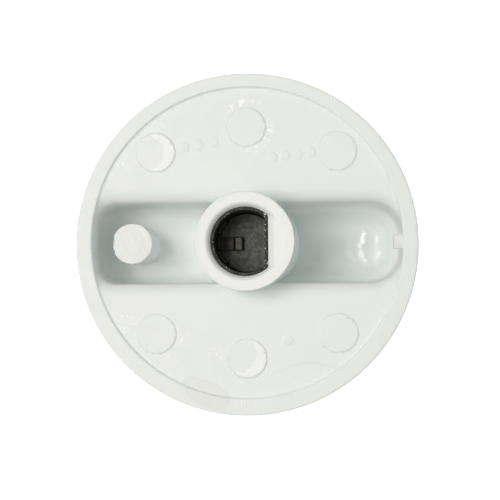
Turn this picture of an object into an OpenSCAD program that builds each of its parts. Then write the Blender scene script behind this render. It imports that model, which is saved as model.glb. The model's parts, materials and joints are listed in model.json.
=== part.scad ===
// Control knob for a cooker or similar appliance: a round disc with a hollow bar grip,
// a long hub with a steel-lined D socket, and a steel clip that holds the knob on its shaft.
// The knob lies on its grip, back up: +Z runs out of the hub's mouth, X along the grip.
// Millimetres. The origin is on the shaft axis, in the plane of the grip's flat top.

/* [Disc] */
// Outer diameter of the knob
disc_d = 46; // [44:0.5:60]
// Thickness of the disc inside its rim
disc_t = 2; // [1.6:0.1:3]
// Height of the rim above the back of the disc
rim_h = 0.5; // [0.3:0.1:1.5]
// Width of the rim
rim_w = 2.25; // [1.8:0.05:2.6]

/* [Grip] */
// Height of the grip in front of the disc
grip_h = 13.5; // [12:0.5:18]
// Width of the grip at its top, before its edges are rounded
grip_w = 12.8; // [12.4:0.2:15]
// Slope of the grip's sides, in degrees
grip_slope = 4; // [3:0.5:6]
// Thickness of the grip's top
grip_t = 2; // [1.6:0.1:3]
// Width of the hollow at its floor, before its edges are rounded
hollow_w = 10.1; // [9:0.1:10.4]
// Slope of the hollow's sides, in degrees
hollow_slope = 2.5; // [1.5:0.5:4]
// Radius of the shoulders that roll from the disc into the hollow
shoulder_r = 1.8; // [1:0.1:2.4]

/* [Hub] */
// Diameter of the hub where it stands free
hub_d = 12.9; // [12.4:0.1:15]
// Distance that the hub stands proud of the rim
hub_out = 6; // [3:0.5:12]
// Depth of the socket below the hub's end face
socket_depth = 9.4; // [8:0.2:12]

/* [Shaft] */
// Diameter of the shaft that the knob fits
shaft_d = 8; // [6:0.5:8]
// Thickness of the shaft across its flat
shaft_across = 6.5; // [5:0.1:7]
// Clearance between the shaft and its sleeve, on each side
shaft_gap = 0.05; // [0.02:0.01:0.1]
// Sheet thickness of the sleeve
sleeve_t = 0.45; // [0.3:0.05:0.5]
// Sheet thickness of the clip
clip_t = 0.4; // [0.3:0.05:0.5]

/* [Details] */
// Distance of the stop post from the shaft axis
post_x = 15.55; // [12:0.05:16]
// Diameter of the stop post
post_d = 5.7; // [4:0.1:6.5]
// Distance of the stop post's top below the rim
post_low = 2.5; // [0:0.5:6]
// Length of the pointer strip in the grip's top
pointer_l = 8; // [5:0.5:10]
// Width of the pointer strip
pointer_w = 1.6; // [1:0.1:2.4]

/* [Hidden] */
$fn = 96;
eps = 0.01;
seat_gap = 0.02;

// Levels, from the grip's top upwards
disc_front_z = grip_h;
pan_z = disc_front_z + disc_t;
rim_z = pan_z + rim_h;
hub_z = rim_z + hub_out;
over_z = hub_z + 5;

// Disc
disc_r = disc_d / 2;
pan_r = disc_r - rim_w;
front_round = 1.2;
land_round = 0.25;

// Grip and its hollow
grip_top_round = 2;
grip_end_round = 3;
grip_end_slope = 4;
grip_root_z = disc_front_z + front_round;
grip_end_r = disc_r - seat_gap - grip_root_z * tan(grip_end_slope);
grip_flare_r = 1;
hollow_round = 3.2;
hollow_end_round = 3.2;
hollow_end_slope = 1.5;
hollow_end_x = pan_r - (pan_z - grip_t) * tan(hollow_end_slope);
hollow_corner_r = 4;
shoulder_z = pan_z - shoulder_r;
hollow_side_y = hollow_w / 2 + (shoulder_z - grip_t) * tan(hollow_slope);

// Hub and socket
hub_r = hub_d / 2;
hub_base_r = hub_r + 0.4;
hub_free_z = pan_z + 0.2;
hub_round = 0.25;
socket_z = hub_z - socket_depth;
mouth_r = 5.05;
mouth_z = hub_z - 0.12;
lead_in = 0.6;
flat_lead = 0.78;
sleeve_low = 0.9;

// Sleeve: the inside fits the shaft, the outside sits in the hub
sleeve_in_r = shaft_d / 2 + shaft_gap;
sleeve_in_flat = shaft_across - shaft_d / 2 + shaft_gap;
sleeve_out_r = sleeve_in_r + sleeve_t;
sleeve_out_flat = sleeve_in_flat + sleeve_t;
sleeve_h = socket_depth - sleeve_low;

// Clip: two wings on the round wall, and a tongue between them
clip_out_r = sleeve_in_r - seat_gap;
clip_in_r = clip_out_r - clip_t;
clip_foot_h = 1;
wing_h = 3.4;
wing_to = 49;
wing_gap = 2;
tongue_w = 1.8;
tongue_z = 0.4;
tongue_end_x = -0.5;
tip_l = 1.3;
tip_h = 0.9;

// Small features of the moulding
pad_h = 0.15;
pad_r = 2.6;
corner_pad = 12.1;
middle_pad = 15.4;
floor_pad_x = 15.3;
floor_pad_r = 2.05;
gate_w = 1.9;
gate_l = 1.25;
gate_h = 2.4;
gate_low = 0.3;
pointer_t = 0.6;
pointer_sink = 0.08;
pointer_mid_x = 15;

// Points along an arc round a centre, from one angle to another
function arc(centre, r, from, to, steps = 8) =
    [for (i = [0:steps])
        let (a = from + (to - from) * i / steps)
        centre + r * [cos(a), sin(a)]];

function mirrored(points) = [for (i = [len(points) - 1:-1:0]) [-points[i][0], points[i][1]]];

// Right-hand half of a channel: a flat bottom, a rounded edge, a sloping side and a flared top
function channel_side(half_w, slope, bottom_z, bottom_round, top_z, flare_r, end_z) =
    let (bottom_u = half_w + bottom_round * tan(slope) - bottom_round / cos(slope),
         flare_z = top_z - flare_r,
         flare_u = half_w + (flare_z - bottom_z) * tan(slope) + flare_r / cos(slope))
    concat(arc([bottom_u, bottom_z + bottom_round], bottom_round, -90, -slope),
           flare_r > 0 ? arc([flare_u, flare_z], flare_r, 180 - slope, 90) : [],
           [[flare_u, end_z]]);

module channel(half_w, slope, bottom_z, bottom_round, top_z, flare_r, end_z) {
    side = channel_side(half_w, slope, bottom_z, bottom_round, top_z, flare_r, end_z);
    polygon(concat(side, mirrored(side)));
}

// Carry an outline drawn in (across, up) along X or along Y
module along_x(length) {
    rotate([90, 0, 90])
        linear_extrude(length, center = true)
            children();
}

module along_y(length) {
    rotate([90, 0, 0])
        linear_extrude(length, center = true)
            children();
}

module disc_solid() {
    rotate_extrude()
        polygon(concat(
            [[0, disc_front_z]],
            arc([disc_r - front_round, disc_front_z + front_round], front_round, -90, 0),
            arc([disc_r - land_round, rim_z - land_round], land_round, 0, 90, 3),
            [[0, rim_z]]));
}

// Round block that gives the grip's ends their shape
module grip_block() {
    side = channel_side(grip_end_r, grip_end_slope, 0, grip_end_round, grip_root_z, 0, grip_root_z);
    rotate_extrude()
        polygon(concat([[0, 0]], side, [[0, grip_root_z]]));
}

module grip_solid() {
    intersection() {
        along_x(disc_d)
            channel(grip_w / 2, grip_slope, 0, grip_top_round,
                    disc_front_z, grip_flare_r, grip_root_z);
        grip_block();
    }
}

module outside_solid() {
    disc_solid();
    grip_solid();
}

// Straight part of the hollow, with round corners and sloping ends
module hollow_well() {
    intersection() {
        along_y(2 * hollow_side_y + 1)
            channel(hollow_end_x, hollow_end_slope, grip_t, hollow_end_round,
                    pan_z, 0, pan_z);
        translate([0, 0, grip_t - eps])
            linear_extrude(disc_front_z)
                rounded_plan(pan_r + eps, hollow_side_y + 0.1, hollow_corner_r);
    }
}

module rounded_plan(half_l, half_w, r) {
    right = concat(arc([half_l - r, r - half_w], r, -90, 0, 6),
                   arc([half_l - r, half_w - r], r, 0, 90, 6));
    polygon(concat(right, mirrored(right)));
}

// Everything that is open behind the disc: the pan, the shoulders and the hollow
module inside_space() {
    translate([0, 0, pan_z])
        cylinder(r = pan_r, h = over_z - pan_z);
    intersection() {
        along_x(disc_d)
            channel(hollow_w / 2, hollow_slope, grip_t, hollow_round, pan_z, shoulder_r, pan_z + eps);
        cylinder(r = pan_r, h = over_z);
        union() {
            hollow_well();
            translate([-disc_r, -disc_r, shoulder_z])
                cube([disc_d, disc_d, over_z]);
        }
    }
}

// The hub's foot tapers inside the grip, and the hub is a plain cylinder where it stands free
module hub_solid() {
    intersection() {
        outside_solid();
        translate([0, 0, grip_t - eps])
            cylinder(r1 = hub_base_r, r2 = hub_r, h = hub_free_z - grip_t + eps);
    }
    translate([0, 0, hub_free_z])
        cylinder(r = hub_r, h = hub_z - hub_round - hub_free_z);
    translate([0, 0, hub_z - hub_round])
        cylinder(r1 = hub_r, r2 = hub_r - hub_round, h = hub_round);
}

// A round space with one flat side at +X, from one level to another
module d_space(r, flat_x, from_z, to_z) {
    intersection() {
        translate([0, 0, from_z])
            cylinder(r = r, h = to_z - from_z);
        translate([-2 * r, -2 * r, from_z - 1])
            cube([2 * r + flat_x, 4 * r, to_z - from_z + 2]);
    }
}

// Socket with its lead-in: a cone round the hole, and a slope on its flat side
module socket_space() {
    pocket_r = sleeve_out_r + seat_gap;
    pocket_flat = sleeve_out_flat + seat_gap;
    translate([0, 0, mouth_z])
        cylinder(r = mouth_r, h = over_z - mouth_z);
    d_space(pocket_r, pocket_flat, socket_z, mouth_z + eps);
    intersection() {
        translate([0, 0, mouth_z - lead_in])
            cylinder(r1 = pocket_r, r2 = mouth_r, h = lead_in + eps);
        along_y(4 * mouth_r)
            polygon([[-2 * mouth_r, mouth_z - 2 * lead_in],
                     [pocket_flat, mouth_z - 2 * lead_in],
                     [pocket_flat, mouth_z - flat_lead],
                     [pocket_flat + flat_lead, mouth_z],
                     [pocket_flat + flat_lead, mouth_z + 1],
                     [-2 * mouth_r, mouth_z + 1]]);
    }
}

module post_solid() {
    translate([-post_x, 0, grip_t - eps])
        cylinder(d = post_d, h = rim_z - post_low - grip_t + eps);
}

module gate_tab() {
    translate([pan_r - gate_l, -gate_w / 2, rim_z - gate_low - gate_h])
        cube([gate_l + rim_w / 2, gate_w, gate_h]);
}

// Raised round witness marks of the ejector pins
module ejector_pads() {
    for (side = [-1, 1]) {
        for (end = [-1, 1])
            ejector_pad(end * corner_pad, side * corner_pad, pan_z, pad_r);
        ejector_pad(0, side * middle_pad, pan_z, pad_r);
    }
    ejector_pad(floor_pad_x, 0, grip_t, floor_pad_r);
}

module ejector_pad(x, y, z, r) {
    translate([x, y, z - eps])
        cylinder(r = r, h = pad_h + eps);
}

module pointer_block(from_z, h) {
    translate([pointer_mid_x - pointer_l / 2, -pointer_w / 2, from_z])
        cube([pointer_l, pointer_w, h]);
}

module knob_body() {
    color("whitesmoke")
        difference() {
            union() {
                difference() {
                    outside_solid();
                    inside_space();
                }
                hub_solid();
                post_solid();
                gate_tab();
                ejector_pads();
            }
            socket_space();
            pointer_block(-1, 1 + pointer_sink + pointer_t);
        }
}

// A deep cup of sheet steel, closed at its foot
module shaft_sleeve() {
    color([0.1, 0.1, 0.09])
        translate([0, 0, socket_z])
            difference() {
                d_space(sleeve_out_r, sleeve_out_flat, 0, sleeve_h);
                d_space(sleeve_in_r, sleeve_in_flat, sleeve_t, sleeve_h + 1);
            }
}

// Two wings on the side of the socket opposite its flat, joined at the foot by a low bar
module clip_wings() {
    difference() {
        rotate([0, 0, 180 - wing_to])
            rotate_extrude(angle = 2 * wing_to)
                translate([clip_in_r, 0])
                    square([clip_t, wing_h]);
        translate([-2 * clip_out_r, -wing_gap / 2, clip_foot_h])
            cube([2 * clip_out_r, wing_gap, wing_h]);
    }
}

// Tongue from the foot of the wings across the sleeve's floor, with a raised tip
module clip_tongue() {
    root_x = clip_in_r + clip_t / 2;
    translate([-root_x, -tongue_w / 2, tongue_z])
        cube([root_x + tongue_end_x, tongue_w, clip_t]);
    translate([tongue_end_x - tip_l, -tongue_w / 2, tongue_z])
        cube([tip_l, tongue_w, tip_h]);
}

module retaining_clip() {
    color([0.22, 0.22, 0.2])
        translate([0, 0, socket_z + sleeve_t]) {
            clip_wings();
            clip_tongue();
        }
}

module pointer_strip() {
    color([0.18, 0.18, 0.2])
        pointer_block(pointer_sink, pointer_t);
}

knob_body();
shaft_sleeve();
retaining_clip();
pointer_strip();
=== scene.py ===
"""Visual model of a white moulded control knob that lies on its grip with its back up.

Lengths are in millimetres until a mesh is made. Each piece is described as a distance field,
so that every edge, fillet and mark has its own size, and the field is then meshed.
"""
import json
import math

import bmesh
import bpy
import numpy as np
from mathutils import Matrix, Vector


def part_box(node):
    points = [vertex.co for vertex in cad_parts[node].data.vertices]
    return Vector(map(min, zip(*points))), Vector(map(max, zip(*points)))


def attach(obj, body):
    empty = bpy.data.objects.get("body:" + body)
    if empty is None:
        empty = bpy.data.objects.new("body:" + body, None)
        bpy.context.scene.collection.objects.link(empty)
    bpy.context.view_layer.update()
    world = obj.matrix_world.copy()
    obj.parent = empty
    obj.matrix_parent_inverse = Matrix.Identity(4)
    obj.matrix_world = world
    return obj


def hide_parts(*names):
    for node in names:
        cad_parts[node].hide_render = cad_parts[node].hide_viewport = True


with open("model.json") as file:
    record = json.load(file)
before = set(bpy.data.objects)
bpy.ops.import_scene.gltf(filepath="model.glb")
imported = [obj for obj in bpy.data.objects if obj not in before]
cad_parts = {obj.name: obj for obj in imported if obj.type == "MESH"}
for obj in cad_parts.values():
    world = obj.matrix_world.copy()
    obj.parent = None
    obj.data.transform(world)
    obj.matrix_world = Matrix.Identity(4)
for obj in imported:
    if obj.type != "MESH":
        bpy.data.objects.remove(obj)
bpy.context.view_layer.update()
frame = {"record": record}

import openvdb
from mathutils import Matrix, Vector

MM = 0.001

# ---------------------------------------------------------------- sizes read from the frame
mounts = {m["name"]: m for m in frame["record"]["mounts"]}
body_lo, body_hi = (np.array(corner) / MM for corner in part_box("knob_body"))
sleeve_lo, sleeve_hi = (np.array(corner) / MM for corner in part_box("shaft_sleeve"))
clip_lo, clip_hi = (np.array(corner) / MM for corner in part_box("retaining_clip"))
strip_lo, strip_hi = (np.array(corner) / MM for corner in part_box("pointer_strip"))
RIM_Z = mounts["rim_land"]["pos_m"][2] / MM
HUB_R = mounts["hub_journal"]["dims"]["r_mm"]
HUB_Z = body_hi[2]
SOCKET_Z, SLEEVE_TOP = sleeve_lo[2], sleeve_hi[2]
SLEEVE_R, SLEEVE_FLAT = -sleeve_lo[0], sleeve_hi[0]
CLIP_R, CLIP_Z = -clip_lo[0], clip_lo[2]
CLIP_TOP, TIP_X = clip_hi[2], clip_hi[0]

# ---------------------------------------------------------------- sizes of the moulding
SHIFT_Y = -0.2
DISC_R = body_hi[0] + SHIFT_Y
PAN_R = 20.75
PAN_Z = RIM_Z - 0.4
FRONT_Z = PAN_Z - 2
GRIP_HALF = 6.4
GRIP_SLOPE = math.radians(4)
GRIP_END_R = DISC_R - FRONT_Z * math.tan(GRIP_SLOPE) - 0.1
FLOOR_Z = 2.0
WELL_HALF = 5.17
WELL_SLOPE = math.radians(1.4)
WELL_END = 20.6
WELL_END_SLOPE = math.radians(0.7)
MOUTH_R = 5.05
MOUTH_Z = HUB_Z - 0.12
SEAT = 0.02
SHEET = 0.45
POST_X, POST_R = -15.55, 2.7
POST_Z = RIM_Z - 2.5
PAD_R, PAD_H = 2.6, 0.13
PADS = [(-12.1, 12.1), (12.1, 12.1), (-12.1, -12.1), (12.1, -12.1), (0, 15.4), (0, -15.4)]
FLOOR_PAD_X, FLOOR_PAD_R = 16.5, 2.9
DOTS = [(-8.3, 12.8), (-6.4, 13.1), (-4.4, 13.4),
        (3.5, 11.3), (5.2, 11.5), (6.9, 11.7), (8.6, 11.9), (5.4, -13.0)]
DOT_R, DOT_H = 0.62, 0.07
# Scuffed places on the disc, painted paler for wear and as glints: x, y and radius
FLAKED = [(-16.0, -10.6, 1.3), (-8.4, -12.4, 1.2), (-10.1, -15.4, 0.8),
          (-4.4, -14.8, 1.0), (-16.6, 10.4, 0.9), (-11.3, 15.4, 0.8)]


# ---------------------------------------------------------------- distance fields
def ramp(t):
    """Smooth step from 0 to 1 while t goes from 0 to 1."""
    t = np.clip(t, 0, 1)
    return t * t * (3 - 2 * t)


def both(a, b, r):
    """Overlap of two solids, with its edge rounded to radius r."""
    corner = np.hypot(np.maximum(r + a, 0), np.maximum(r + b, 0))
    return np.minimum(-r, np.maximum(a, b)) + corner


def either(a, b, r):
    """Two solids joined, with a fillet of radius r."""
    return -both(-a, -b, r)


def between(v, low, high):
    """Slab between two levels."""
    return np.maximum(low - v, v - high)


def outside(x, y, z):
    """Outer shape: the disc, and the bar grip in front of it."""
    rho = np.hypot(x, y - SHIFT_Y)
    side = np.abs(y - SHIFT_Y) - GRIP_HALF - z * math.tan(GRIP_SLOPE)
    end = rho - GRIP_END_R - z * math.tan(GRIP_SLOPE)
    grip = both(both(side, -z, 2.0), end, 1.6)
    solid = either(between(z, FRONT_Z, RIM_Z), np.maximum(grip, z - FRONT_Z - 1), 1.0)
    edge = np.where(z > FRONT_Z + 1.3, 0.25, 1.1)
    return both(solid, rho - DISC_R, edge)


def pan_floor(x, y):
    """Level of the disc's back: it dips towards the hollow and carries round marks."""
    level = PAN_Z - 0.2 * ramp(1 - (np.abs(y) - WELL_HALF - 0.5) / 3.8)
    for px, py in PADS:
        level = level + PAD_H * ramp((PAD_R - np.hypot(x - px, y - py)) / 0.2 + 0.5)
    for px, py in DOTS:
        level = level + DOT_H * ramp((DOT_R - np.hypot(x - px, y - py)) / 0.2 + 0.5)
    return level


def well_floor(x, y):
    """Level of the hollow's floor: it rises like a spoon at one end, under a round mark."""
    r = np.hypot(x - FLOOR_PAD_X, y)
    spoon = 0.22 * ramp((x - 12.5) / 7.5)
    crest = 16.0 + 0.28 * np.sin(1.7 * y - 0.6) + 0.12 * np.sin(4.6 * y)
    height = (0.075 + 0.02 * np.sin(3.1 * y + 1)) * ramp((3.0 - np.abs(y + 0.3)) / 0.7)
    ridge = height * np.exp(-np.square((x - crest) / 0.45))
    return FLOOR_Z + spoon + ridge + 0.03 * ramp((FLOOR_PAD_R - r) / 0.5 + 0.5)


def space(x, y, z):
    """Open space behind the disc: inside the rim, over the shoulders, in the hollow."""
    rho = np.hypot(x, y)
    up = z - FLOOR_Z
    side = np.abs(y) - WELL_HALF - up * math.tan(WELL_SLOPE)
    end = np.abs(x) - WELL_END - up * math.tan(WELL_END_SLOPE)
    corner_r = 3.2 + ramp(x / 10)
    well = both(both(side, end, corner_r), well_floor(x, y) - z, 3.2)
    well = np.maximum(well, z - PAN_Z - 1)
    pan = both(pan_floor(x, y) - z, rho - PAN_R, 0.25)
    return np.maximum(either(pan, well, 1.55), rho - PAN_R)


def socket(x, y, z):
    """Hole in the hub: a shallow round mouth, then a D that opens towards it."""
    rho = np.hypot(x, y)
    above = np.maximum(z - SLEEVE_TOP, 0)
    mouth = MOUTH_Z + 0.22 * ramp((rho - MOUTH_R) / 0.5 + 0.5) - z
    wall = rho - SLEEVE_R - SEAT - 0.45 * above
    flat = x - SLEEVE_FLAT - SEAT - above
    hole = both(both(wall, flat, 0.15), between(z, SOCKET_Z, MOUTH_Z + 0.3), 0.01)
    return either(mouth, hole, 0.25)


def body(x, y, z):
    """The whole moulding."""
    rho = np.hypot(x, y)
    outer = outside(x, y, z)
    solid = both(outer, -space(x, y, z), 0.15)
    hub_r = HUB_R + 0.4 * np.clip((PAN_Z - z) / PAN_Z, 0, 1)
    hub = both(rho - hub_r, z - HUB_Z, 0.1)
    hub = np.maximum(hub, np.minimum(outer + 1, PAN_Z - 1 - z))
    solid = either(solid, hub, 0.35)
    snipped = -x + POST_X - 2.45 + 0.12 * np.sin(4 * y)
    post = np.maximum(np.hypot(x - POST_X, y) - POST_R, np.minimum(snipped, z - POST_Z + 1.2))
    post = both(post, z - POST_Z, 0.06)
    solid = either(solid, np.maximum(post, 1 - z), 0.4)
    gate = np.maximum(np.abs(y) - 0.95, between(x, PAN_R - 1.25, PAN_R + 1))
    gate = both(gate, between(z, RIM_Z - 2.7, RIM_Z - 0.3), 0.06)
    solid = np.minimum(solid, gate)
    strip = np.maximum(between(x, strip_lo[0], strip_hi[0]), np.abs(y) - strip_hi[1])
    recess = np.maximum(strip, z - strip_hi[2])
    return both(both(solid, -socket(x, y, z), 0.08), -recess, 0.05)


def sleeve(x, y, z):
    """Deep D-shaped cup of thin sheet, with a ragged burr round its open edge."""
    rho = np.hypot(x, y)
    turn = np.arctan2(y, x)
    burr = 0.035 * np.sin(41 * turn) * np.sin(17 * turn + 1) + 0.025 * np.sin(73 * turn + 2)
    outer = both(rho - SLEEVE_R, x - SLEEVE_FLAT, 0.25)
    inner = both(rho - SLEEVE_R + SHEET, x - SLEEVE_FLAT + SHEET, 0.15)
    wall = both(outer, z - SLEEVE_TOP + 0.06 - burr, 0.08)
    cup = both(wall, -both(inner, SOCKET_Z + SHEET - z, 0.3), 0.1)
    return both(cup, SOCKET_Z - z, 0.3)


def clip(x, y, z):
    """Sprung sheet: two wings on the round wall, and a tongue with a curled tip."""
    rho = np.hypot(x, y)
    turn = np.abs(np.arctan2(y, -x))
    up = z - CLIP_Z
    sheet = between(rho, CLIP_R - 0.4, CLIP_R)
    wings = both(rho * (turn - math.radians(49)), rho * (math.radians(15) - turn), 0.1)
    wings = both(wings, up - (CLIP_TOP - CLIP_Z), 0.3)
    band = np.minimum(wings, np.maximum(rho * (turn - math.radians(49)), up - 1))
    ring = both(both(sheet, np.maximum(band, -up), 0.08), -x - CLIP_R, 0.01)
    across = np.abs(y + 0.12) - 0.88
    rise = 0.3 + 0.12 * ramp((x + 3.4) / 1.5)
    tongue = np.maximum(between(x, 0.1 - CLIP_R, TIP_X - 0.4), np.abs(up - rise) - 0.17)
    curl = np.hypot(np.maximum(np.abs(x - TIP_X + 0.65) - 0.35, 0), up - 0.5) - 0.28
    return np.minimum(ring, both(either(tongue, curl, 0.15), across, 0.1))


def strip(x, y, z):
    """Inlaid pointer."""
    plan = both(between(x, strip_lo[0], strip_hi[0]), np.abs(y) - strip_hi[1], 0.25)
    return both(plan, between(z, strip_lo[2], strip_hi[2]), 0.08)


# ---------------------------------------------------------------- meshing
def slope(field, p):
    """Gradient of a field at points p."""
    e = 0.01
    steps = e * np.eye(3)
    return np.stack([(field(*(p + s).T) - field(*(p - s).T)) / (2 * e) for s in steps], 1)


def mesh_piece(name, field, lo, hi, voxel, adaptivity):
    """Meshes a field, and moves the points onto its exact surface."""
    axes = [np.arange(lo[i] - 3 * voxel, hi[i] + 3 * voxel, voxel) for i in range(3)]
    x, y, z = axes[0][:, None, None], axes[1][None, :, None], axes[2][None, None, :]
    band = 3 * voxel
    grid = openvdb.FloatGrid(band)
    grid.copyFromArray(np.clip(field(x, y, z), -band, band).astype(np.float32))
    points, tris, quads = grid.convertToPolygons(isovalue=0.0, adaptivity=adaptivity)
    p = points * voxel + np.array([axis[0] for axis in axes])
    for _ in range(4):
        g = slope(field, p)
        pull = field(*p.T) / np.maximum((g * g).sum(1), 0.3)
        p = p - np.clip(pull, -voxel / 2, voxel / 2)[:, None] * g
    p = np.clip(p, lo, hi)
    mesh = bpy.data.meshes.new(name)
    mesh.from_pydata((p * MM).tolist(), [], tris.tolist() + quads.tolist())
    mesh.validate()
    mesh.shade_smooth()
    normals = slope(field, p)
    normals /= np.maximum(np.linalg.norm(normals, axis=1, keepdims=True), 1e-6)
    mesh.normals_split_custom_set_from_vertices(normals.tolist())
    piece = bpy.data.objects.new(name, mesh)
    bpy.context.scene.collection.objects.link(piece)
    return piece


# ---------------------------------------------------------------- materials
class Graph:
    """A procedural material; sockets and plain numbers can be mixed freely as inputs."""

    def __init__(self, name):
        self.material = bpy.data.materials.new(name)
        self.material.use_nodes = True
        self.tree = self.material.node_tree
        self.shader = self.tree.nodes["Principled BSDF"]
        coordinates = self.add("ShaderNodeTexCoord", {}, {}, "Object")
        self.p = self.add("ShaderNodeVectorMath", {"operation": "SCALE"},
                          {0: coordinates, "Scale": 1 / MM})
        split = self.tree.nodes.new("ShaderNodeSeparateXYZ")
        self.put(split.inputs[0], self.p)
        self.x, self.y, self.z = split.outputs
        facing = self.tree.nodes.new("ShaderNodeSeparateXYZ")
        self.put(facing.inputs[0], self.add("ShaderNodeNewGeometry", {}, {}, "Normal"))
        self.normal_z = facing.outputs["Z"]

    def put(self, target, value):
        if isinstance(value, bpy.types.NodeSocket):
            self.tree.links.new(value, target)
        else:
            target.default_value = value

    def add(self, kind, settings, inputs, output=0):
        node = self.tree.nodes.new(kind)
        for key, value in settings.items():
            setattr(node, key, value)
        for key, value in inputs.items():
            self.put(node.inputs[key], value)
        return node.outputs[output]

    def math(self, operation, a, b=0.0, c=0.0):
        return self.add("ShaderNodeMath", {"operation": operation}, {0: a, 1: b, 2: c})

    def total(self, *terms):
        result = terms[0]
        for term in terms[1:]:
            result = self.math("ADD", result, term)
        return result

    def product(self, *factors):
        result = factors[0]
        for factor in factors[1:]:
            result = self.math("MULTIPLY", result, factor)
        return result

    def fade(self, value, start, end, low=0.0, high=1.0):
        """Smooth change from low to high while the value goes from start to end."""
        return self.add("ShaderNodeMapRange", {"interpolation_type": "SMOOTHSTEP"},
                        {"Value": value, "From Min": start, "From Max": end,
                         "To Min": low, "To Max": high}, "Result")

    def vector(self, x, y, z):
        return self.add("ShaderNodeCombineXYZ", {}, {0: x, 1: y, 2: z})

    def noise(self, scale, detail=2.0, at=None, stretch=None, distortion=0.0):
        where = self.p if at is None else at
        if stretch:
            where = self.add("ShaderNodeVectorMath", {"operation": "MULTIPLY"},
                             {0: where, 1: stretch})
        return self.add("ShaderNodeTexNoise", {},
                        {"Vector": where, "Scale": scale, "Detail": detail,
                         "Distortion": distortion}, "Fac")

    def polar(self, cx, cy):
        """Distance from an upright axis, and the turn round it in radians."""
        dx = self.math("SUBTRACT", self.x, cx)
        dy = self.math("SUBTRACT", self.y, cy)
        square = self.math("ADD", self.product(dx, dx), self.product(dy, dy))
        return self.math("SQRT", square), self.math("ARCTAN2", dy, dx)

    def spot(self, cx, cy, r, soft):
        """1 inside a circle, 0 outside it."""
        return self.fade(self.polar(cx, cy)[0], r + soft, r - soft)

    def window(self, value, low, high, soft):
        """1 while the value lies between two levels."""
        return self.product(self.fade(value, low - soft, low + soft),
                            self.fade(value, high + soft, high - soft))

    def mix(self, factor, a, b):
        return self.add("ShaderNodeMix", {"data_type": "RGBA"},
                        {"Factor": factor, 6: a, 7: b}, 2)

    def finish(self, color, roughness, height, **values):
        """Links the results to the shader; the height is in millimetres."""
        self.put(self.shader.inputs["Base Color"], color)
        self.put(self.shader.inputs["Roughness"], roughness)
        bump = self.add("ShaderNodeBump", {}, {"Height": height, "Distance": MM})
        self.put(self.shader.inputs["Normal"], bump)
        for key, value in values.items():
            self.put(self.shader.inputs[key.replace("_", " ")], value)
        return self.material


def pin_scuffs(g):
    """Torn, feathery scuff marks round some ejector pins' marks, painted paler for wear and as
    glints.
    """
    fibre_r, fibre_turn = g.polar(*PADS[4])
    around = g.vector(g.math("MULTIPLY", fibre_turn, 5.0), fibre_r, 0.0)
    fibres = g.fade(g.noise(1.6, 3, at=around, stretch=(1, 0.5, 1)), 0.50, 0.56)
    ring = g.window(fibre_r, 2.75, 3.7, 0.15)
    sector = g.math("MAXIMUM", g.window(fibre_turn, -1.5, 0.1, 0.15),
                    g.window(fibre_turn, 1.0, 2.3, 0.2))
    scuffs_and_glints = g.product(fibres, ring, sector)
    flakes = g.fade(g.noise(3.2, 4, stretch=(1, 0.6, 1), distortion=0.8), 0.55, 0.62)
    for cx, cy, r in FLAKED:
        scuffs_and_glints = g.math("MAXIMUM", scuffs_and_glints, g.product(flakes, g.spot(cx, cy, r, 0.4)))
    return scuffs_and_glints


def land_scratches(g):
    """Fine scratches across the rim's land, in two places."""
    hairs = g.fade(g.noise(1.0, 2, stretch=(5.0, 0.35, 1)), 0.60, 0.66)
    places = g.math("MAXIMUM", g.spot(10.2, 19.6, 2.0, 0.8), g.spot(0.2, -21.9, 1.9, 0.6))
    return g.product(hairs, places)


def pin_marks(g):
    """1 on the ejector pins' round marks."""
    marks = 0.0
    for cx, cy in PADS:
        marks = g.math("MAXIMUM", marks, g.spot(cx, cy, PAD_R, 0.05))
    return marks


def crescents(g):
    """Crescents on two of the ejector pins' marks: slightly raised, and painted paler as a
    painted sheen.
    """
    ragged = g.math("MULTIPLY", g.noise(1.1, 3), 1.3)
    first = g.math("ADD", g.polar(-13.3, 11.9)[0], ragged)
    second = g.math("ADD", g.polar(-1.2, -14.9)[0], ragged)
    return g.math("MAXIMUM",
                  g.product(g.fade(first, 2.9, 3.0), g.spot(*PADS[0], PAD_R - 0.1, 0.05)),
                  g.product(g.fade(second, 3.0, 3.1), g.spot(*PADS[5], PAD_R - 0.1, 0.05)))


def tide_marks(g, on_pan):
    """Grey stain with a darker outline at the disc's edge, and a faint arc beside it."""
    wander = g.math("MULTIPLY", g.math("SUBTRACT", g.noise(0.45, 2), 0.5), 3.0)
    along = g.total(g.product(g.x, 0.44), g.product(g.y, -0.24), -2.4)
    across = g.total(g.product(g.x, 0.48), g.product(g.y, 0.88), 20.2)
    spread = g.math("ADD", g.product(along, along), g.product(across, across))
    tide = g.math("ADD", g.math("SQRT", spread), g.math("MULTIPLY", wander, 0.5))
    outline = g.window(tide, 1.62, 1.68, 0.16)
    inside = g.fade(tide, 1.75, 1.5)
    arc = g.math("ADD", g.polar(8.2, -25.5)[0], g.math("MULTIPLY", wander, 0.3))
    arc = g.product(g.window(arc, 9.35, 9.45, 0.22), g.window(g.x, 3.6, 12.0, 0.8), on_pan)
    return g.total(g.product(outline, 0.3), g.product(inside, 0.16), g.product(arc, 0.4))


def saw_cuts(g):
    """Curved cuts that the saw left across the stop post's top."""
    bow = g.math("MULTIPLY", g.polar(POST_X - 6, -4)[0], 7.0)
    return g.noise(1.0, 4, at=g.vector(bow, g.math("MULTIPLY", g.y, 0.5), 0.0), distortion=0.6)


def hub_flash(g, rho):
    """Thin broken line round one side of the hub's end."""
    on_end = g.fade(g.z, HUB_Z - 0.12, HUB_Z - 0.05)
    jitter = g.math("MULTIPLY", g.math("SUBTRACT", g.noise(1.4, 3), 0.5), 0.5)
    line = g.window(g.math("ADD", rho, jitter), HUB_R - 0.32, HUB_R - 0.26, 0.05)
    return g.product(line, on_end, g.fade(g.x, 1.0, -2.0))


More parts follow.
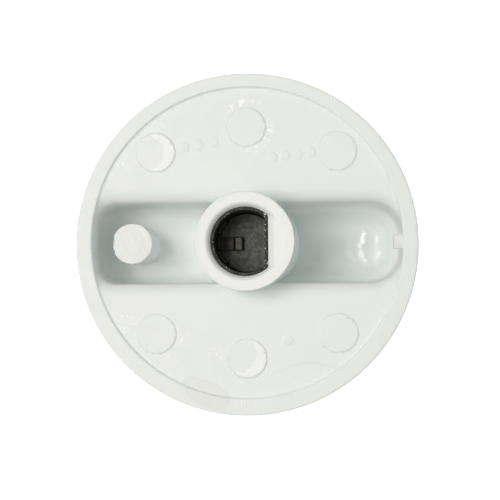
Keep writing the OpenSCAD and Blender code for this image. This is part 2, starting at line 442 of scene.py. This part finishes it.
def white_plastic():
    """Satin white moulding with scuff marks, stains and painted light; glossy and translucent in
    the hollow.
    """
    g = Graph("white_plastic")
    rho, _ = g.polar(0, 0)
    post_r, _ = g.polar(POST_X, 0)
    away_x = g.math("ABSOLUTE", g.x)
    away_y = g.math("ABSOLUTE", g.y)
    steep = g.fade(g.normal_z, 0.85, 0.35)
    level = g.math("SUBTRACT", 1.0, steep)

    # Regions: the disc's back, its pan, the rim's land, the hollow, the post and the hub
    on_back = g.fade(g.z, PAN_Z - 0.5, PAN_Z - 0.3)
    on_pan = g.product(on_back, g.fade(rho, PAN_R, PAN_R - 0.1))
    on_land = g.product(on_back, g.fade(rho, PAN_R, PAN_R + 0.1))
    near_well = g.fade(away_y, 9.0, 6.0)
    deep = g.fade(g.z, POST_Z - 0.4, POST_Z - 4)
    on_post = g.product(g.fade(post_r, 3.0, 2.9), g.window(g.z, POST_Z - 0.15, POST_Z + 1, 0.05))
    on_hub = g.fade(g.z, RIM_Z + 0.5, RIM_Z + 1.5)

    # Marks
    scuffs_and_glints = g.product(pin_scuffs(g), on_back)
    scratches = g.product(land_scratches(g), on_land)
    drag = g.noise(1.4, 4, stretch=(3.0, 0.7, 1), distortion=0.4)
    drag = g.product(drag, pin_marks(g), on_back)
    crescent = g.product(crescents(g), on_back)
    stain = g.product(tide_marks(g, on_pan), on_back)
    cuts = saw_cuts(g)
    flash = hub_flash(g, rho)

    # Colour: nearly even white, with marks over it and painted light in the hollow and on what
    # stands free
    color = g.mix(g.noise(0.22, 3), (0.800, 0.855, 0.833, 1), (0.825, 0.879, 0.857, 1))
    specks = g.fade(g.noise(2.6, 1), 0.80, 0.82)
    color = g.mix(g.product(specks, 0.5), color, (0.35, 0.34, 0.32, 1))
    # Painted light: the hollow's floor is painted far paler towards its left end, where less
    # lamp light reaches, than at its right
    trough_painted_light = g.mix(g.fade(g.x, -3.0, 5.0), (0.915, 0.980, 0.965, 1), (0.794, 0.845, 0.832, 1))
    color = g.mix(g.product(deep, level), color, trough_painted_light)
    # Painted light: the steep walls are painted paler, standing for the bright floor that they
    # mirror
    color = g.mix(steep, color, (0.910, 0.975, 0.957, 1))
    # Painted light: the hub and the post's top are painted paler, as raised parts standing
    # nearer the lamp
    color = g.mix(on_hub, color, (0.858, 0.905, 0.880, 1))
    color = g.mix(on_post, color, (0.870, 0.915, 0.890, 1))
    color = g.mix(stain, color, (0.60, 0.63, 0.53, 1))
    # Painted highlight as well as wear: the scuff marks are paler partly as glints, and the
    # crescents as a painted sheen
    bright = g.math("MAXIMUM", g.math("MAXIMUM", scuffs_and_glints, scratches), g.product(crescent, 0.5))
    color = g.mix(bright, color, (0.97, 1.0, 0.985, 1))
    color = g.mix(g.product(flash, 0.2), color, (0.55, 0.56, 0.54, 1))
    cut_tone = g.product(on_post, g.fade(cuts, 0.35, 0.65, 0.0, 0.18))
    color = g.mix(cut_tone, color, (0.70, 0.71, 0.68, 1))

    # Roughness: satin on the flat back, glossy on the hollow's floor, broken at its right end
    satin = g.fade(g.noise(0.6, 3), 0.3, 0.7, 0.42, 0.54)
    breaks = g.fade(g.noise(0.9, 2), 0.46, 0.52, 0.0, 0.35)
    roughness = g.total(satin, g.product(deep, -0.36), g.product(steep, 0.32),
                        g.product(on_post, 0.17), g.product(g.fade(g.x, 16.9, 17.9), breaks))

    # Relief, in millimetres
    grain = g.product(g.math("SUBTRACT", g.noise(9.0, 2), 0.5), 0.004)
    wave = g.product(g.math("SUBTRACT", g.noise(0.45, 2), 0.5), 0.012)
    drawn = g.noise(1.0, 2, stretch=(0.15, 1.2, 1))
    drawn = g.product(g.math("SUBTRACT", drawn, 0.5), 0.006, near_well, on_back)
    height = g.total(g.product(grain, level), g.product(wave, level), drawn,
                     g.product(scuffs_and_glints, 0.012), g.product(scratches, 0.012),
                     g.product(drag, 0.022), g.product(crescent, 0.02),
                     g.product(cuts, on_post, 0.13), g.product(flash, -0.015))

    # Light soaks into the hollow and its shoulders, most of all at its thin ends
    soak = g.product(g.fade(away_x, 11.0, 18.0, 0.4, 0.75),
                     g.fade(g.z, PAN_Z + 0.4, PAN_Z + 0.2), g.fade(away_y, 10.0, 7.0),
                     g.math("SUBTRACT", 1.0, on_post))
    return g.finish(color, roughness, height, Subsurface_Weight=soak,
                    Subsurface_Radius=(1.0, 1.0, 1.0), Subsurface_Scale=0.0035,
                    Specular_IOR_Level=g.math("MULTIPLY_ADD", steep, -0.25, 0.35))


def blackened_steel():
    """Drawn sleeve: oxide on its walls, and bare metal sparkles on the burr."""
    g = Graph("blackened_steel")
    rho, turn = g.polar(0, 0)
    drawn = g.noise(1.0, 3, at=g.vector(g.math("MULTIPLY", turn, 22.0), g.z, 0.0),
                    stretch=(1, 0.3, 1))
    oxide = g.noise(1.1, 4)
    at_foot = g.fade(g.z, SOCKET_Z + 0.9, SOCKET_Z + 0.5)
    on_wall = g.fade(g.z, SOCKET_Z + 0.6, SOCKET_Z + 1.4)
    drawn = g.add("ShaderNodeMix", {}, {"Factor": on_wall, 2: g.noise(2.2, 3), 3: drawn})
    color = g.mix(oxide, (0.030, 0.030, 0.026, 1), (0.055, 0.056, 0.050, 1))
    streaks = g.product(g.fade(drawn, 0.45, 0.7), on_wall, 0.35)
    color = g.mix(streaks, color, (0.13, 0.13, 0.12, 1))
    color = g.mix(at_foot, color, (0.062, 0.067, 0.060, 1))
    at_edge = g.fade(g.z, SLEEVE_TOP - 0.28, SLEEVE_TOP - 0.12)
    inner = g.math("MAXIMUM", g.window(rho, SLEEVE_R - SHEET - 0.1, SLEEVE_R - 0.28, 0.05),
                   g.window(g.x, SLEEVE_FLAT - SHEET - 0.1, SLEEVE_FLAT - 0.22, 0.05))
    side = g.math("MAXIMUM", g.fade(g.x, -1.5, -2.6), g.fade(g.x, 2.2, 2.5))
    bare = g.fade(g.noise(4.5, 3), 0.60, 0.66)
    bare = g.product(bare, at_edge, inner, side)
    color = g.mix(bare, color, (0.85, 0.84, 0.80, 1))
    roughness = g.fade(drawn, 0.3, 0.7, 0.42, 0.58)
    height = g.total(g.product(drawn, 0.008), g.product(g.noise(7.0, 3), 0.010),
                     g.product(bare, 0.03))
    return g.finish(color, roughness, height, Metallic=0.85)


def spring_steel():
    """Rolled strip; the tongue's raised tip is painted paler, a painted highlight."""
    g = Graph("spring_steel")
    rolled = g.noise(1.0, 3, stretch=(0.6, 9.0, 3.0))
    film = g.noise(1.3, 3)
    color = g.mix(film, (0.022, 0.021, 0.018, 1), (0.042, 0.042, 0.036, 1))
    # Painted highlight: the tongue's raised tip is painted paler where it catches the light
    painted_tip_highlight = g.product(g.fade(g.z, CLIP_Z + 0.5, CLIP_Z + 0.75), g.fade(g.x, -2.2, -1.6))
    color = g.mix(painted_tip_highlight, color, (0.055, 0.058, 0.050, 1))
    roughness = g.fade(rolled, 0.3, 0.7, 0.36, 0.52)
    height = g.total(g.product(rolled, 0.008), g.product(g.noise(8.0, 2), 0.006))
    return g.finish(color, roughness, height, Metallic=0.8)


def grey_plastic():
    """Dark inlay with rubbed streaks along it."""
    g = Graph("grey_plastic")
    cloud = g.noise(0.8, 3)
    color = g.mix(cloud, (0.026, 0.027, 0.030, 1), (0.040, 0.041, 0.045, 1))
    rub = g.fade(g.noise(1.0, 3, stretch=(0.5, 6.0, 1)), 0.58, 0.66)
    color = g.mix(g.product(rub, 0.4), color, (0.12, 0.12, 0.125, 1))
    roughness = g.fade(g.noise(1.2, 3), 0.3, 0.7, 0.48, 0.62)
    height = g.total(g.product(g.noise(6.0, 3), 0.012), g.product(rub, -0.004))
    return g.finish(color, roughness, height)


# ---------------------------------------------------------------- pieces
PIECES = (
    ("knob_moulding", body, body_lo, body_hi, 0.14, 0.005, "knob_body", "body_plastic",
     white_plastic),
    ("steel_sleeve", sleeve, sleeve_lo, sleeve_hi, 0.06, 0.01, "shaft_sleeve", "sleeve_steel",
     blackened_steel),
    ("spring_clip", clip, clip_lo, clip_hi, 0.05, 0.01, "retaining_clip", "clip_steel",
     spring_steel),
    ("pointer_inlay", strip, strip_lo, strip_hi, 0.08, 0.01, "pointer_strip", "pointer_plastic",
     grey_plastic),
)
for name, field, lo, hi, voxel, adaptivity, node, slot, material in PIECES:
    piece = mesh_piece(name, field, lo, hi, voxel, adaptivity)
    piece.data.materials.append(material())
    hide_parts(node)
    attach(piece, "root")


# ---------------------------------------------------------------- floor, light and camera
def floor():
    """Pale table; it shows behind the knob, and throws no light on it."""
    mesh = bpy.data.meshes.new("floor")
    grid = bmesh.new()
    bmesh.ops.create_grid(grid, x_segments=1, y_segments=1, size=3)
    grid.to_mesh(mesh)
    grid.free()
    sheet = bpy.data.objects.new("floor", mesh)
    sheet.visible_diffuse = False
    bpy.context.scene.collection.objects.link(sheet)
    g = Graph("white_table")
    color = g.mix(g.noise(0.05, 2), (0.90, 0.90, 0.90, 1), (0.92, 0.92, 0.92, 1))
    mesh.materials.append(g.finish(color, 0.8, g.product(g.noise(2.0, 2), 0.01),
                                   Emission_Color=(1, 1, 1, 1), Emission_Strength=0.8))


def key_light(azimuth, elevation, distance, size, power, color):
    """Round lamp that faces the rim's centre; the angles are in degrees."""
    turn, lift = math.radians(azimuth), math.radians(elevation)
    away = Vector((math.cos(turn) * math.cos(lift), math.sin(turn) * math.cos(lift),
                   math.sin(lift)))
    data = bpy.data.lights.new("key", "AREA")
    data.shape = "DISK"
    data.size = size
    data.energy = power
    data.color = color
    lamp = bpy.data.objects.new("key", data)
    lamp.location = Vector((0, 0, RIM_Z * MM)) + away * distance
    lamp.rotation_mode = "QUATERNION"
    lamp.rotation_quaternion = (-away).to_track_quat("-Z", "Y")
    bpy.context.scene.collection.objects.link(lamp)


def studio(horizon, gain, color):
    """Plain sky, as bright as horizon at the side and as horizon + gain straight above."""
    world = bpy.data.worlds.new("studio")
    world.use_nodes = True
    nodes, links = world.node_tree.nodes, world.node_tree.links
    split = nodes.new("ShaderNodeSeparateXYZ")
    links.new(nodes.new("ShaderNodeTexCoord").outputs["Generated"], split.inputs[0])
    height = nodes.new("ShaderNodeMath")
    height.operation = "POWER"
    links.new(split.outputs["Z"], height.inputs[0])
    height.inputs[1].default_value = 2
    strength = nodes.new("ShaderNodeMath")
    strength.operation = "MULTIPLY_ADD"
    links.new(height.outputs[0], strength.inputs[0])
    strength.inputs[1].default_value = gain
    strength.inputs[2].default_value = horizon
    links.new(strength.outputs[0], nodes["Background"].inputs["Strength"])
    nodes["Background"].inputs["Color"].default_value = color
    bpy.context.scene.world = world
    bpy.context.scene.view_settings.view_transform = "Standard"


def camera(offset, roll, view_width, shift):
    """Camera above the knob; the offset is from the centre of its rim, the roll in degrees."""
    data = bpy.data.cameras.new("camera")
    lens = bpy.data.objects.new("camera", data)
    bpy.context.scene.collection.objects.link(lens)
    away = Vector(offset) * MM
    forward = -away.normalized()
    tilt = math.radians(roll)
    right = forward.cross(Vector((math.sin(tilt), math.cos(tilt), 0))).normalized()
    turn = Matrix((right, right.cross(forward), -forward)).transposed()
    lens.matrix_world = Matrix.Translation(Vector((0, 0, RIM_Z * MM)) + away) @ turn.to_4x4()
    data.sensor_width = 36
    data.lens = away.length / (view_width * MM) * data.sensor_width
    data.shift_x, data.shift_y = shift
    data.clip_start = 0.01
    data.clip_end = 10
    bpy.context.scene.camera = lens


floor()
studio(horizon=0.31, gain=0.34, color=(1.0, 1.0, 0.985, 1))
key_light(azimuth=169, elevation=69.8, distance=0.85, size=0.38, power=3.42,
          color=(1.10, 1.0, 0.957))
camera(offset=(9.4, -6.4, 215), roll=0.38, view_width=66.4, shift=(0.0068, -0.0152))
